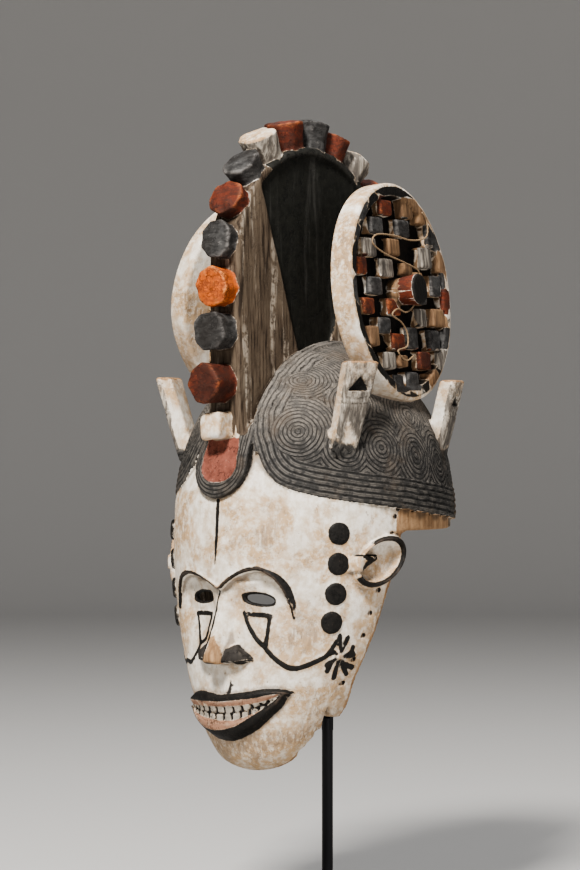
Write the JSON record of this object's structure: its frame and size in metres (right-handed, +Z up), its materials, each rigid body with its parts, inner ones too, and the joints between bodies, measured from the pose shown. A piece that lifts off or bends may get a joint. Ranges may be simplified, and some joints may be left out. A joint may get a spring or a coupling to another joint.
{
  "type": "igbo maiden spirit mask",
  "caption": "Carved and painted wooden helmet mask with a white face, ridged hair, a tall pegged crest and chequered side discs, on a display rod.",
  "frame": {"origin": "centre of the foot plate's underside", "axes": "+Z up; the face looks towards -Y; +X is the wearer's left"},
  "size_m": [0.2114, 0.248, 0.6119],
  "materials": {
    "carved_wood": "carved wood under worn white kaolin, blue-black and brick-red pigment, matt",
    "plant_fibre": "dry twisted plant fibre, matt",
    "blackened_steel": "steel painted black, low sheen"
  },
  "bodies": {
    "root": {"carved_mask": "carved_wood", "disc_cord": "plant_fibre", "peg_strand_low": "plant_fibre", "peg_strand_high": "plant_fibre", "display_rod": "blackened_steel", "display_foot": "blackened_steel"}
  },
  "joints": []
}
